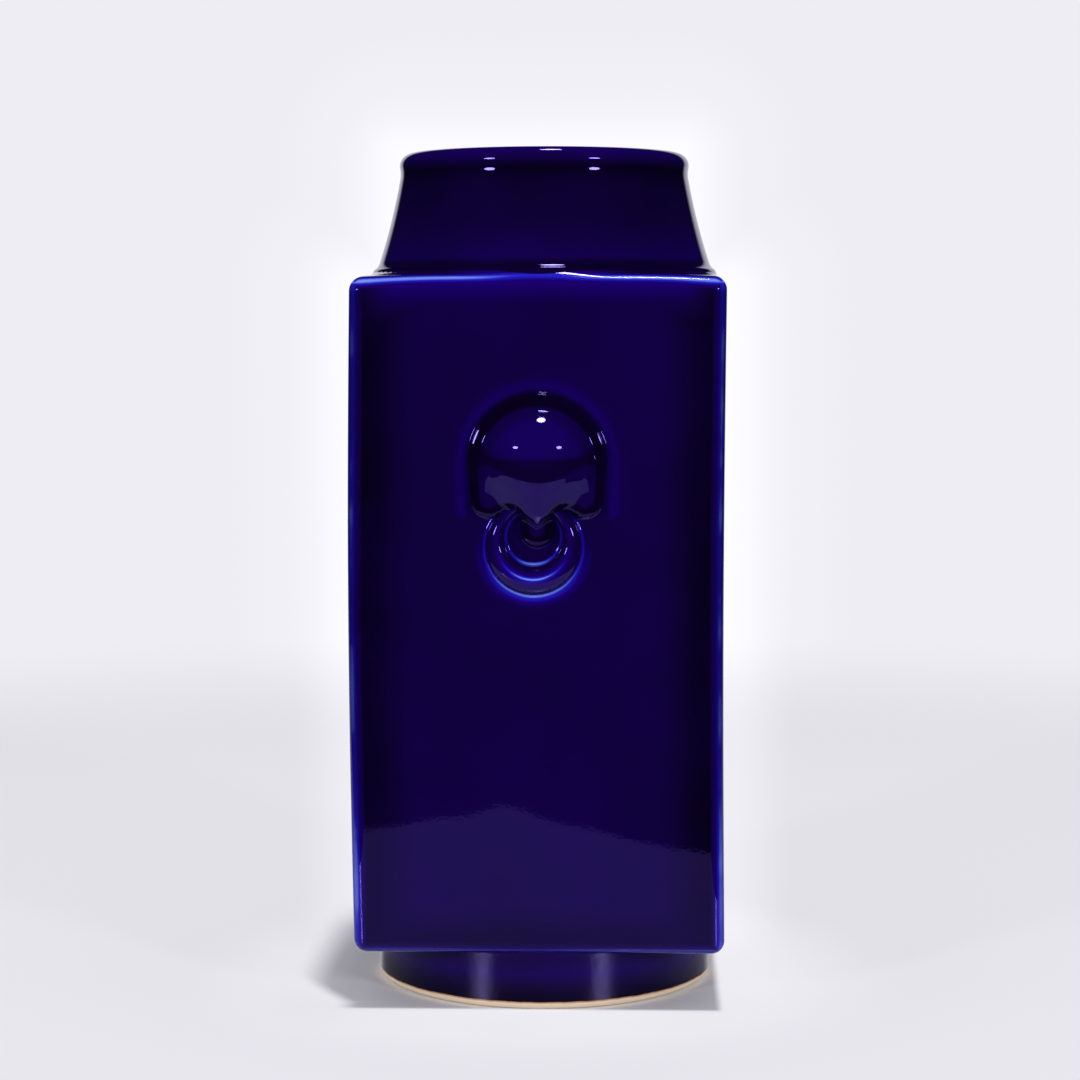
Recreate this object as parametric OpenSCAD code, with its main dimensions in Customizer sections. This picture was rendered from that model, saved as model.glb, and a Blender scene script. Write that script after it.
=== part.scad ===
// Square cong vase in blue-glazed porcelain: a body of six mitred slabs between a thrown
// neck and a thrown foot ring, with a moulded mask holding a fixed ring on two opposite faces.
// Millimetres, +Z up, front face towards -Y, origin at the centre of the foot's resting plane.

/* [Body] */
// Outer width of the square body
body_w = 124.4; // [110:0.2:160]
// Height of the square body
body_h = 227.3; // [160:0.1:300]
// Thickness of the six slabs
slab_t = 6; // [4.5:0.1:8]
// Rounding of the outer edges of the body
edge_r = 2.8; // [1:0.1:4]

/* [Foot ring] */
// Height of the foot ring
foot_h = 20.5; // [12:0.5:30]
// Distance from the body's faces in to the foot ring
foot_inset = 3.2; // [2:0.1:10]
// Thickness of the foot ring
foot_t = 8.5; // [6:0.1:12]
// Rounding of the foot ring's lower outer edge
foot_edge_r = 3.2; // [1:0.1:3.8]
// Rounding of the foot ring's lower inner edge
foot_inner_r = 1.6; // [0.5:0.1:2]

/* [Neck] */
// Height from the shoulder to the top of the lip
neck_h = 42.2; // [32:0.1:60]
// Distance from the body's faces in to the toe of the neck
neck_inset = 1.6; // [1:0.1:6]
// Distance from the body's faces in to the lip
lip_inset = 12; // [9:0.1:20]
// Thickness of the neck's wall
neck_t = 7; // [5:0.1:9]
// Radius of the rolled lip
lip_r = 4.3; // [4:0.1:5]
// How far the lip stands proud of the neck under it
lip_proud = 0.5; // [0.2:0.1:1.2]
// Radius of the sweep from the neck to the shoulder
sweep_r = 3; // [2:0.1:6]
// Height of the upright edge at the toe of the neck
toe_h = 0.5; // [0.3:0.1:1.5]
// Depth of the spigot that locates the neck in the shoulder
spigot_h = 4; // [2:0.1:4.4]
// Thickness of the spigot
spigot_t = 2.5; // [1.5:0.1:3]
// Gap for slip between the spigot and the shoulder, on the radius
slip_gap = 0.15; // [0.1:0.05:0.4]

/* [Mask] */
// Distance from the shoulder down to the centre of the mask's arched top
mask_drop = 62.15; // [50:0.05:90]
// Width of the mask
mask_w = 45.5; // [44:0.1:60]
// Distance from the centre of the arch down to the jaw
jaw_drop = 18.25; // [17:0.05:22]
// Rounding of the jaw's corners
jaw_r = 6; // [3:0.1:8]
// Distance from the mask's middle to the middle of each notch in the jaw
notch_out = 9.3; // [9:0.1:11]
// Radius of each notch
notch_r = 3.8; // [3:0.1:4.2]
// Depth of each notch into the jaw
notch_in = 2.4; // [1.5:0.1:2.8]
// Distance from the centre of the arch down to the end of the trunk
trunk_drop = 27.85; // [26:0.05:34]
// Height of the crown over the wall
crown_h = 13; // [10:0.1:18]
// Height of the crown's middle over the centre of the arch
crown_up = 1.85; // [0:0.05:4]
// Height of the ledge that runs round the dome, over the wall
ledge_h = 3.8; // [2:0.1:6]
// Height of the jaw over the wall
jaw_h = 7.5; // [6:0.1:9]
// Width of the rounded rim outside the ledge
rim_w = 4; // [2.5:0.1:5]

/* [Ring] */
// Outer radius of the ring
ring_r = 16; // [14:0.1:20]
// Radius of the hole in the ring, at the wall
hole_r = 9.6; // [8:0.1:11]
// Height of the ring over the wall
ring_h = 5.8; // [4:0.1:7]
// Distance from the arch's centre down to the centre of the ring
ring_drop = 28.15; // [27:0.05:34]
// Height of the hole's centre over the ring's centre
hole_up = 3.3; // [1:0.1:4]
// Distance that the ring hangs to the left of the mask's middle, seen from its own face
ring_shift = 1.3; // [0:0.1:2]
// Widening of the hole for each millimetre of height
hole_flare_ratio = 0.45; // [0.2:0.05:0.9]

/* [Seam coils] */
// Radius of the clay coils pressed into the upright inner corners
corner_coil_r = 5; // [3:0.1:5.5]
// Radius of the clay coils pressed round the floor, inside
floor_coil_r = 6; // [4:0.1:8]
// Radius of the clay coils pressed under the shoulder, inside
shoulder_coil_r = 2.5; // [1.5:0.1:4]

/* [Hidden] */

glaze_blue = [0.08, 0.02, 0.28];
inner_glaze = [0.88, 0.90, 0.90];

$fn = 96;
// Room by which a cutter stands past the shape that it cuts
past = 1;

half_w = body_w / 2;
inner_half = half_w - slab_t;
body_mid = foot_h + body_h / 2;
shoulder_z = foot_h + body_h;
floor_z = foot_h + slab_t;
ceiling_z = shoulder_z - slab_t;

// Angles about the upright axis at which a piece drawn at the front stands
front_angle = 0;
right_angle = 90;
back_angle = 180;
left_angle = 270;

// Neck, in radius and height over the shoulder
toe_r = half_w - neck_inset;
lip_out = half_w - lip_inset;
throat_r = lip_out - lip_proud;
throat_z = neck_h - lip_r - sqrt(pow(lip_r, 2) - pow(lip_r - lip_proud, 2));
sweep_centre = [toe_r, toe_h + sweep_r];
// The cone leaves the throat and runs into the sweep along its tangent
to_throat = [throat_r, throat_z] - sweep_centre;
tangent_at = atan2(to_throat.y, to_throat.x) + acos(sweep_r / norm(to_throat));
cone_base = sweep_centre + sweep_r * [cos(tangent_at), sin(tangent_at)];
bore_top_r = throat_r - neck_t;
bore_base_r = cone_base.x - neck_t;
spigot_r = bore_base_r + spigot_t;
opening_r = spigot_r + slip_gap;

// Foot ring
foot_out = half_w - foot_inset;
foot_in = foot_out - foot_t;
foot_middle = foot_out - foot_t / 2;

// Mask outline, in across and up from the centre of the arch
mask_half = mask_w / 2;
notch_z = notch_in - jaw_drop - notch_r;
notch_start = asin((notch_r - notch_in) / notch_r);
trunk_half = notch_out - notch_r;
trunk_z = trunk_half - trunk_drop;
crown = [0, crown_up];
ledge_half = mask_half - rim_w;
ledge_up = mask_half - crown_up - rim_w;
// Rings of points on the mask's face, and on its rim outside them
face_rings = 5;
rim_rings = 5;

// Points on an arc from one angle to another
function arc(centre, r, from, to, steps) = [
    for (i = [0:steps]) centre + r * [
        cos(from + (to - from) * i / steps),
        sin(from + (to - from) * i / steps)
    ]
];

// Right half of the mask's outline, from the top of the arch down to the end of the trunk
function half_outline() = concat(
    arc([0, 0], mask_half, 90, 0, 14),
    [[mask_half, (jaw_r - jaw_drop) / 2]],
    arc([mask_half - jaw_r, jaw_r - jaw_drop], jaw_r, 0, -90, 5),
    arc([notch_out, notch_z], notch_r, notch_start, 180, 7),
    arc([0, trunk_z], trunk_half, 0, -90, 6)
);

// The same points on the other side, back up to the top, without the two on the middle line
function mirrored(points) = [for (i = [len(points) - 2:-1:1]) [-points[i].x, points[i].y]];

mask_outline = concat(half_outline(), mirrored(half_outline()));

// Height of the mask's face, before its rim is rounded off: a dome over the crown and a lower
// face that slopes back to the jaw, both ending on the ledge
function face_height(at) =
    let (
        down = min(1, (crown.y - at.y) / (crown.y + jaw_drop)),
        up = max(0, at.y - crown.y) / ledge_up,
        across = at.x / ledge_half,
        dome_fall = crown_h - ledge_h,
        jaw_fall = crown_h - jaw_h
    )
    max(ledge_h, down > 0
        ? crown_h - jaw_fall * pow(down, 2) - (dome_fall - jaw_fall * down) * pow(across, 2)
        : crown_h - dome_fall * (pow(up, 2) + pow(across, 2)));

// Distances in from the outline, along the ray from the crown, at which the rings lie
function ring_depths(ray) = concat(
    [for (i = [1:face_rings]) ray - (ray - rim_w) * i / face_rings],
    [for (i = [1:rim_rings]) rim_w * (1 - sin(90 * i / rim_rings))]
);

// The mask's point at a distance in from an outline point
function mask_point(p, depth) =
    let (
        at = p + (crown - p) * depth / norm(crown - p),
        rounding = 1 - min(1, depth / rim_w)
    )
    [at.x, at.y, face_height(at) * sqrt(1 - pow(rounding, 2))];

module turned(angle) {
    rotate([0, 0, angle]) children();
}

// A rectangle about the origin with its corners rounded
module soft_rectangle(w, h, r) {
    square([w - 2 * r, h], center = true);
    square([w, h - 2 * r], center = true);
    for (x = [-1, 1], y = [-1, 1]) {
        translate([x * (w / 2 - r), y * (h / 2 - r)]) circle(r);
    }
}

// The body's outer block with every edge rounded, centred on the origin
module soft_block() {
    intersection() {
        linear_extrude(body_h + 2 * past, center = true) soft_rectangle(body_w, body_w, edge_r);
        rotate([90, 0, 0]) {
            linear_extrude(body_w + 2 * past, center = true) soft_rectangle(body_w, body_h, edge_r);
        }
        rotate([90, 0, 90]) {
            linear_extrude(body_w + 2 * past, center = true) soft_rectangle(body_w, body_h, edge_r);
        }
    }
}

// A slab section with both ends mitred at 45 degrees, its outer face down at -depth
module mitred_section(half_length, depth) {
    polygon([
        [-half_length - past, -depth - past], [half_length + past, -depth - past],
        [half_length - slab_t, -depth + slab_t], [-half_length + slab_t, -depth + slab_t],
    ]);
}

// The front wall: the block's front layer, mitred along all four edges
module wall_slab() {
    color(glaze_blue) translate([0, 0, body_mid]) intersection() {
        soft_block();
        linear_extrude(body_h + 2 * past, center = true) mitred_section(half_w, half_w);
        rotate([0, 90, 0]) linear_extrude(body_w + 2 * past, center = true) {
            mitred_section(body_h / 2, half_w);
        }
    }
}

module front_wall() {
    turned(front_angle) wall_slab();
}

module right_wall() {
    turned(right_angle) wall_slab();
}

module back_wall() {
    turned(back_angle) wall_slab();
}

module left_wall() {
    turned(left_angle) wall_slab();
}

// A bar with the mitred section, running along Y, or along X for a quarter turn
module mitred_bar(angle, turn) {
    turned(angle) rotate([90, 0, 0]) linear_extrude(body_w + 2 * past, center = true) {
        rotate(turn) mitred_section(half_w, body_h / 2);
    }
}

// The block's bottom layer, or its top layer turned over by a half turn, mitred to the walls
module end_slab(turn) {
    translate([0, 0, body_mid]) intersection() {
        soft_block();
        mitred_bar(front_angle, turn);
        mitred_bar(right_angle, turn);
    }
}

module floor_slab() {
    color(glaze_blue) end_slab(0);
}

module shoulder_slab() {
    color(glaze_blue) difference() {
        end_slab(180);
        translate([0, 0, ceiling_z - past]) cylinder(h = slab_t + 2 * past, r = opening_r);
    }
}

// Half section of the neck: spigot, toe with its sweep, cone and rolled lip
module neck_section() {
    difference() {
        polygon([
            [bore_base_r, -spigot_h], [spigot_r, -spigot_h], [spigot_r, 0], [toe_r, 0],
            [toe_r, toe_h], cone_base, [throat_r, throat_z], [bore_top_r, throat_z], [bore_base_r, 0],
        ]);
        translate(sweep_centre) circle(sweep_r);
    }
    translate([lip_out - lip_r, neck_h - lip_r]) circle(lip_r);
}

module neck() {
    color(glaze_blue) translate([0, 0, shoulder_z]) rotate_extrude() neck_section();
}

// Half section of the foot ring, with its lower edges rounded
module foot_section() {
    translate([foot_in + foot_inner_r, 0]) square([foot_t - foot_inner_r - foot_edge_r, foot_h]);
    translate([foot_in, foot_inner_r]) square([foot_t / 2, foot_h - foot_inner_r]);
    translate([foot_middle, foot_edge_r]) square([foot_t / 2, foot_h - foot_edge_r]);
    translate([foot_out - foot_edge_r, foot_edge_r]) circle(foot_edge_r);
    translate([foot_in + foot_inner_r, foot_inner_r]) circle(foot_inner_r);
}

module foot_ring() {
    color(glaze_blue) rotate_extrude() foot_section();
}

// Stands a shape drawn on the XY plane up on a face of the body, at the centre of the arch
module on_face(angle) {
    turned(angle) translate([0, -half_w, shoulder_z - mask_drop]) rotate([90, 0, 0]) children();
}

// Lofts the outline up to the crown in rings, on a flat back
module mask_relief() {
    count = len(mask_outline);
    rings = face_rings + rim_rings;
    points = concat(
        [[crown.x, crown.y, 0], [crown.x, crown.y, crown_h]],
        [for (k = [0:rings - 1], p = mask_outline) mask_point(p, ring_depths(norm(p - crown))[k])]
    );
    function at(ring, i) = 2 + ring * count + i % count;
    faces = concat(
        [for (i = [0:count - 1]) [1, at(0, i), at(0, i + 1)]],
        [for (k = [1:rings - 1], i = [0:count - 1]) [at(k - 1, i), at(k, i), at(k - 1, i + 1)]],
        [for (k = [1:rings - 1], i = [0:count - 1]) [at(k, i), at(k, i + 1), at(k - 1, i + 1)]],
        [for (i = [0:count - 1]) [0, at(rings - 1, i + 1), at(rings - 1, i)]]
    );
    color(glaze_blue) polyhedron(points, faces);
}

module front_mask() {
    on_face(front_angle) mask_relief();
}

module back_mask() {
    on_face(back_angle) mask_relief();
}

// Half section of the ring's outside: a flat disc with a quarter-round edge
module disc_section() {
    square([ring_r - ring_h, ring_h]);
    intersection() {
        translate([ring_r - ring_h, 0]) circle(ring_h);
        square([ring_r, ring_h]);
    }
}

// The ring, cut off where it goes in under the mask
module ring_relief() {
    color(glaze_blue) difference() {
        translate([-ring_shift, -ring_drop, 0]) difference() {
            rotate_extrude() disc_section();
            translate([0, hole_up, -past]) cylinder(
                h = ring_h + 2 * past,
                r1 = hole_r - past * hole_flare_ratio,
                r2 = hole_r + (ring_h + past) * hole_flare_ratio
            );
        }
        translate([0, 0, -past]) linear_extrude(ring_h + 2 * past) polygon(mask_outline);
    }
}

module front_ring() {
    on_face(front_angle) ring_relief();
}

module back_ring() {
    on_face(back_angle) ring_relief();
}

// A quarter-round coil along the inner edge on the left of the front wall
module corner_coil(angle) {
    inner_h = body_h - 2 * slab_t;
    color(inner_glaze) turned(angle) translate([-inner_half, -inner_half, floor_z]) difference() {
        intersection() {
            cylinder(h = inner_h, r = corner_coil_r);
            cube([corner_coil_r, corner_coil_r, inner_h]);
        }
        crossed_coils(floor_coil_r);
        translate([0, 0, inner_h]) crossed_coils(shoulder_coil_r);
    }
}

// Full-round coils along X and Y from one corner
module crossed_coils(r) {
    rotate([0, 90, 0]) cylinder(h = body_w, r = r);
    rotate([-90, 0, 0]) cylinder(h = body_w, r = r);
}

module corner_coil_front_left() {
    corner_coil(front_angle);
}

module corner_coil_front_right() {
    corner_coil(right_angle);
}

module corner_coil_back_right() {
    corner_coil(back_angle);
}

module corner_coil_back_left() {
    corner_coil(left_angle);
}

// A quarter-round coil along the inner edge of the front wall, with its ends mitred to the next
// coils. The quarter is kept that lies over the height low.
module seam_coil(angle, r, seam_z, low) {
    color(inner_glaze) turned(angle) intersection() {
        translate([0, -inner_half, seam_z]) rotate([0, 90, 0]) {
            cylinder(h = 2 * inner_half, r = r, center = true);
        }
        translate([0, 0, low]) linear_extrude(r) polygon([
            [-inner_half, -inner_half], [inner_half, -inner_half],
            [inner_half - r, r - inner_half], [r - inner_half, r - inner_half],
        ]);
    }
}

module floor_coil(angle) {
    seam_coil(angle, floor_coil_r, floor_z, floor_z);
}

module shoulder_coil(angle) {
    seam_coil(angle, shoulder_coil_r, ceiling_z, ceiling_z - shoulder_coil_r);
}

module floor_coil_front() {
    floor_coil(front_angle);
}

module floor_coil_right() {
    floor_coil(right_angle);
}

module floor_coil_back() {
    floor_coil(back_angle);
}

module floor_coil_left() {
    floor_coil(left_angle);
}

module shoulder_coil_front() {
    shoulder_coil(front_angle);
}

module shoulder_coil_right() {
    shoulder_coil(right_angle);
}

module shoulder_coil_back() {
    shoulder_coil(back_angle);
}

module shoulder_coil_left() {
    shoulder_coil(left_angle);
}

front_wall();
back_wall();
left_wall();
right_wall();
floor_slab();
shoulder_slab();
neck();
foot_ring();
front_mask();
front_ring();
back_mask();
back_ring();
corner_coil_front_left();
corner_coil_front_right();
corner_coil_back_left();
corner_coil_back_right();
floor_coil_front();
floor_coil_right();
floor_coil_back();
floor_coil_left();
shoulder_coil_front();
shoulder_coil_right();
shoulder_coil_back();
shoulder_coil_left();
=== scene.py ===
import math

import bmesh
import bpy
import numpy as np
from mathutils import Matrix, Vector


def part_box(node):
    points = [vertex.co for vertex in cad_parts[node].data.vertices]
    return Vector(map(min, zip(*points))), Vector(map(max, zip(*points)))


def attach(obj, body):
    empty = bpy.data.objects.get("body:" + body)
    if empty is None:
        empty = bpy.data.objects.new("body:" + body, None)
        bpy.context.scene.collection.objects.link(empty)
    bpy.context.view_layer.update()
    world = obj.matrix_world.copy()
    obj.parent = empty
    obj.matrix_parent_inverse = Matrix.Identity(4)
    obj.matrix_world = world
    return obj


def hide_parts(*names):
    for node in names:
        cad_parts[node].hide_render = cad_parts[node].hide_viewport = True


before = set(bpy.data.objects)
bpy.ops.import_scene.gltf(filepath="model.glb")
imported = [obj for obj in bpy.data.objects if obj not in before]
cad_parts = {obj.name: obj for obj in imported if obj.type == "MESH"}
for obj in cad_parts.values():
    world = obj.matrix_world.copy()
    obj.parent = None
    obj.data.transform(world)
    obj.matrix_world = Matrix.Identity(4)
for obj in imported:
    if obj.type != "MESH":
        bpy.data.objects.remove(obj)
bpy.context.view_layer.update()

bl_info = {
    "name": "Cong Vase",
    "version": (1, 0, 0),
    "blender": (4, 5, 0),
    "location": "3D View > Sidebar > Cong Vase",
    "description": "Builds a square blue-glazed cong vase with mask and ring handles",
    "category": "Add Mesh",
}

MM = 0.001

# The body's planes and the reliefs' extents, as the frame has them
HALF = -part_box("front_wall")[0].y
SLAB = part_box("front_wall")[1].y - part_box("front_wall")[0].y
BASE_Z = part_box("floor_slab")[0].z
SHOULDER_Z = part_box("shoulder_slab")[1].z
BODY_MID = (BASE_Z + SHOULDER_Z) / 2
TOP_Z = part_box("neck")[1].z
SPIGOT_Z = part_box("neck")[0].z
FOOT_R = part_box("foot_ring")[1].x
MASK_LOW, MASK_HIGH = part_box("front_mask")
MASK_HALF = MASK_HIGH.x
ARCH_Z = MASK_HIGH.z - MASK_HALF
CROWN_H = MASK_HIGH.y - MASK_LOW.y
RING_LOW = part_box("front_ring")[0]
RING_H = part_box("front_ring")[1].y - RING_LOW.y

# The settled shoulder: width of its skirt, run over which its corners fall, and the share of their drop
# that its whole edge has sunk
SKIRT = 7 * MM
CORNER_RUN = 26 * MM
EDGE_SUNK = 0.15

# An end's settling fades out over this run. It starts from more than one, so it is whole close to the end
SETTLE_RUN = 40 * MM
SETTLE_START = 1.15

# Points closer than this are one point
TOUCH = 0.001 * MM

WALLS = {
    "front_wall": Vector((0, -1, 0)),
    "right_wall": Vector((1, 0, 0)),
    "back_wall": Vector((0, 1, 0)),
    "left_wall": Vector((-1, 0, 0)),
}
UP = Vector((0, 0, 1))
COILS = [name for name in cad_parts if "_coil" in name]


def srgb(red, green, blue):
    """A colour read on screen, 0 to 255, as linear values."""
    levels = [channel / 255 for channel in (red, green, blue)]
    return tuple(v / 12.92 if v <= 0.04045 else ((v + 0.055) / 1.055) ** 2.4 for v in levels)


def number(name, description, default, **settings):
    settings = {"min": 0, **settings}
    return bpy.props.FloatProperty(name=name, description=description, default=default, **settings)


def length(name, description, default):
    return number(name, description, default, precision=5, unit="LENGTH")


def colour(name, description, default):
    return bpy.props.FloatVectorProperty(
        name=name, description=description, default=default, min=0, max=1, size=3, subtype="COLOR"
    )


class CongVaseBody(bpy.types.PropertyGroup):
    """Sizes of the slab-built body"""

    edge_radius: length("Edge Radius", "Rounding of the body's outer edges", 4.4 * MM)
    left_bow: length("Left Bow", "How far the left side swells out at mid-height, from the firing", 1.2 * MM)
    left_swell: length("Left Swell", "How far the left side stands out over its whole height", 0.2 * MM)
    right_bow: length(
        "Right Bow", "How far the right side sinks in at mid-height, from the firing", 0.75 * MM
    )
    right_swell: length("Right Swell", "How far the right side stands out over its whole height", 0.35 * MM)
    shoulder_drop: length("Shoulder Drop", "How far the shoulder has settled towards its corners", 1.35 * MM)
    skirt_height: length("Skirt Height", "Rise of the shoulder's skirt to the neck's toe", 2.2 * MM)
    skirt_reach: length("Skirt Reach", "Radius at which the skirt runs out", 65 * MM)
    foot_drop: length("Foot Edge Drop", "How far the lower edge hangs below the foot's joint", 0.7 * MM)
    opening_radius: length("Opening Radius", "Radius of the shoulder's opening for the neck", 53.3 * MM)


class CongVaseNeck(bpy.types.PropertyGroup):
    """Sizes of the thrown neck and the thrown foot ring"""

    lip_radius: length("Lip Radius", "Radius of the rolled lip", 4.3 * MM)
    lip_out: length("Lip Reach", "Outer radius of the lip", 50.6 * MM)
    throat: length("Throat", "Outer radius of the neck under the lip", 50.2 * MM)
    cone_base: length("Cone Base", "Outer radius where the neck turns into its sweep", 57.85 * MM)
    sweep: length("Sweep", "Radius of the sweep from the neck on to the shoulder", 4.2 * MM)
    wall: length("Wall", "Thickness of the neck's wall", 7.0 * MM)
    spigot: length("Spigot", "Outer radius of the spigot in the shoulder", 52.9 * MM)
    shift: length("Neck Shift", "How far the neck sits to the right of the body's middle", 0.32 * MM)
    foot_wall: length("Foot Wall", "Thickness of the foot ring", 8.5 * MM)
    foot_edge: length("Foot Edge", "Rounding of the foot ring's lower outer edge", 3.2 * MM)


class CongVaseRelief(bpy.types.PropertyGroup):
    """Sizes of the moulded masks and rings"""

    jaw_drop: length("Jaw Drop", "From the centre of the mask's arch down to the jaw", 18.25 * MM)
    jaw_radius: length("Jaw Radius", "Rounding of the jaw's corners", 6.0 * MM)
    notch_out: length("Notch Place", "From the mask's middle to the middle of each notch", 9.3 * MM)
    notch_radius: length("Notch Radius", "Radius of each notch in the jaw", 3.8 * MM)
    notch_in: length("Notch Depth", "Depth of each notch into the jaw", 2.4 * MM)
    trunk_drop: length("Trunk Drop", "From the centre of the arch down to the trunk's end", 27.85 * MM)
    crown_up: length("Crown Place", "Height of the crown over the centre of the arch", 3.9 * MM)
    dome_up: length("Dome Height", "From the crown up to the foot of the dome", 13.4 * MM)
    ledge_height: length("Ledge Height", "Height of the ledge round the dome", 3.6 * MM)
    face_slope: number("Face Slope", "Fall of the lower face for each unit of its length", 0.5)
    face_half: length("Face Half Width", "Half the width of the flat lower face", 17.4 * MM)
    face_drop: length("Face Drop", "From the centre of the arch down to the lower face's edge", 13.8 * MM)
    point_drop: length("Point Drop", "From the centre of the arch down to the lower face's point", 21.7 * MM)
    wrinkle: length("Wrinkle Depth", "Depth of the wrinkles across the lower face", 0.04 * MM)
    rim_width: length("Rim Width", "Width of the ledge and rim outside the dome", 4.0 * MM)
    edge: length("Rim Edge", "Width of the steep rounding at the mask's edge", 0.45 * MM)
    bevel: length("Rim Bevel", "Width of the bevel inside the steep edge", 0.95 * MM)
    bevel_slope: number("Bevel Slope", "Rise of the rim's bevel for each unit of its width", 0.38)
    taper: number("Taper", "How much narrower the mask is at the jaw", 0.055, max=0.5)
    fillet: length("Fillet", "Radius of the slip fillet where the reliefs meet the wall", 1.1 * MM)
    ring_radius: length("Ring Radius", "Outer radius of the ring", 16.0 * MM)
    hole_radius: length("Hole Radius", "Radius of the hole in the ring", 9.6 * MM)
    hole_up: length("Hole Place", "Height of the hole's centre over the ring's centre", 3.3 * MM)
    ring_shift: length("Ring Shift", "How far the ring hangs to the left of the mask's middle", 1.3 * MM)


class CongVaseGlaze(bpy.types.PropertyGroup):
    """Colours of the glazes and of the bare clay"""

    # The pooled blue is also the tone of the painted shade beside the body's edges and of the dark bands
    # painted on the mask.
    pooled_and_shaded: colour("Pooled Blue", "Blue glaze where it lies thickest", srgb(8, 2, 28))
    cobalt: colour("Cobalt Blue", "Blue glaze on the open faces", srgb(19, 2, 66))
    drawn: colour("Drawn Blue", "Blue glaze as it begins to draw thin", srgb(29, 1, 120))
    bright: colour("Bright Blue", "Blue glaze close to an edge", srgb(36, 32, 200))
    thin: colour("Thin Blue", "Blue glaze drawn thin over an edge", srgb(128, 160, 255))
    clear: colour(
        "Clear Glaze", "Clear glaze over white porcelain, inside and under the base", srgb(226, 229, 228)
    )
    biscuit: colour("Bare Rim", "Unglazed porcelain of the foot's rim", srgb(250, 233, 206))
    burnt: colour("Burnt Line", "Line of toasted clay where the glaze ends", srgb(205, 152, 104))


class CongVaseStage(bpy.types.PropertyGroup):
    """Camera and light of the studio"""

    camera_distance: length("Camera Distance", "From the vase's axis to the camera", 0.9217)
    camera_height: length("Camera Height", "Height of the camera", 0.2348)
    lens: number("Lens", "Focal length", 86.88, min=1, unit="CAMERA")
    lamp_distance: length("Lamp Distance", "From the vase to each lamp", 1.6)
    lamp_size: length("Lamp Size", "Width of each lamp", 0.23)
    side_power: number("Side Lamps", "Power of each side lamp", 6.5, unit="POWER")
    top_power: number("Top Lamp", "Power of the lamp overhead", 7.2, unit="POWER")
    fill: number("Fill Light", "Strength of the light from all round", 0.5)
    floor: colour("Floor", "Colour of the floor", srgb(243, 242, 247))
    floor_glow: colour("Floor Glow", "Pale tone of the floor towards the camera", srgb(246, 245, 252))
    backdrop: colour("Backdrop", "Colour of the background", srgb(238, 237, 243))


# Modelling helpers


def start(name, add, **place):
    """Add a primitive with nothing else selected, its place and size kept in its mesh."""
    bpy.ops.object.select_all(action="DESELECT")
    add(**place)
    piece = bpy.context.active_object
    piece.name = name
    piece.data.name = name
    bpy.ops.object.transform_apply(location=True, rotation=True, scale=True)
    return piece


def activate(piece):
    bpy.ops.object.select_all(action="DESELECT")
    piece.select_set(True)
    bpy.context.view_layer.objects.active = piece


def edit(piece, kind="VERT"):
    """Open a piece in edit mode with all of it selected."""
    activate(piece)
    bpy.ops.object.mode_set(mode="EDIT")
    bpy.ops.mesh.select_mode(type=kind)
    bpy.ops.mesh.select_all(action="SELECT")


def leave_edit():
    bpy.ops.object.mode_set(mode="OBJECT")


def face_outward():
    """Turn all faces of the open piece outward, and leave edit mode."""
    bpy.ops.mesh.select_all(action="SELECT")
    bpy.ops.mesh.normals_make_consistent(inside=False)
    leave_edit()


def slice_piece(place, normal, **keep):
    """Cut the open piece along a plane."""
    bpy.ops.mesh.select_all(action="SELECT")
    bpy.ops.mesh.bisect(plane_co=place, plane_no=normal, threshold=TOUCH, **keep)


def copy_piece(piece, name, turn=None):
    """A copy with a mesh of its own, turned about the upright axis."""
    twin = piece.copy()
    twin.data = piece.data.copy()
    twin.name = name
    twin.data.name = name
    bpy.context.scene.collection.objects.link(twin)
    if turn:
        twin.data.transform(Matrix.Rotation(turn, 4, "Z"))
    return twin


def place_in_frame(piece, node):
    """The piece stands for a CAD node: it hangs under the root, and the node is hidden."""
    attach(piece, "root")
    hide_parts(node)


def turned_piece(name, section, steps=144):
    """Turn a closed section, radius and height, about the upright axis."""
    piece = start(name, bpy.ops.mesh.primitive_plane_add, size=1 * MM)
    edit(piece)
    bpy.ops.mesh.merge(type="CENTER")
    bpy.ops.transform.translate(value=(section[0][0], 0, section[0][1]))
    for here, there in zip(section, section[1:]):
        move = (there[0] - here[0], 0, there[1] - here[1])
        bpy.ops.mesh.extrude_vertices_move(TRANSFORM_OT_translate={"value": move})
    bpy.ops.mesh.select_all(action="SELECT")
    bpy.ops.mesh.remove_doubles(threshold=TOUCH)
    bpy.ops.mesh.spin(steps=steps, angle=2 * math.pi, center=(0, 0, 0), axis=(0, 0, 1))
    bpy.ops.mesh.select_all(action="SELECT")
    bpy.ops.mesh.remove_doubles(threshold=TOUCH)
    face_outward()
    bpy.ops.object.shade_smooth_by_angle(angle=math.radians(40))
    return piece


def arc(centre, radius, first, last, steps):
    """Points on an arc, angles in degrees."""
    angles = [math.radians(first + (last - first) * i / steps) for i in range(steps + 1)]
    return [(centre[0] + radius * math.cos(a), centre[1] + radius * math.sin(a)) for a in angles]


def curve(a, b, c, steps):
    """Points on a quadratic curve from a to c, drawn towards b."""
    made = []
    for i in range(1, steps):
        t = i / steps
        made.append(tuple((1 - t) ** 2 * p + 2 * t * (1 - t) * q + t * t * r for p, q, r in zip(a, b, c)))
    return made


# Body


def warp(point, body):
    """How far the firing has pushed a point of the body sideways, and how that changes with height."""
    reach = SHOULDER_Z - BASE_Z
    rise = math.pi * min(1, max(0, (point.z - BASE_Z) / reach))
    right = min(1, max(0, 0.5 + 0.5 * point.x / HALF))
    bow = body.left_bow + (body.right_bow - body.left_bow) * right
    swell = body.right_swell * right - body.left_swell * (1 - right)
    return swell - bow * math.sin(rise), -bow * math.cos(rise) * math.pi / reach


def near_end(past):
    """How much of an end's settling a point takes up, by how far it lies past that end."""
    return min(1, max(0, past / SETTLE_RUN + SETTLE_START))


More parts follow.
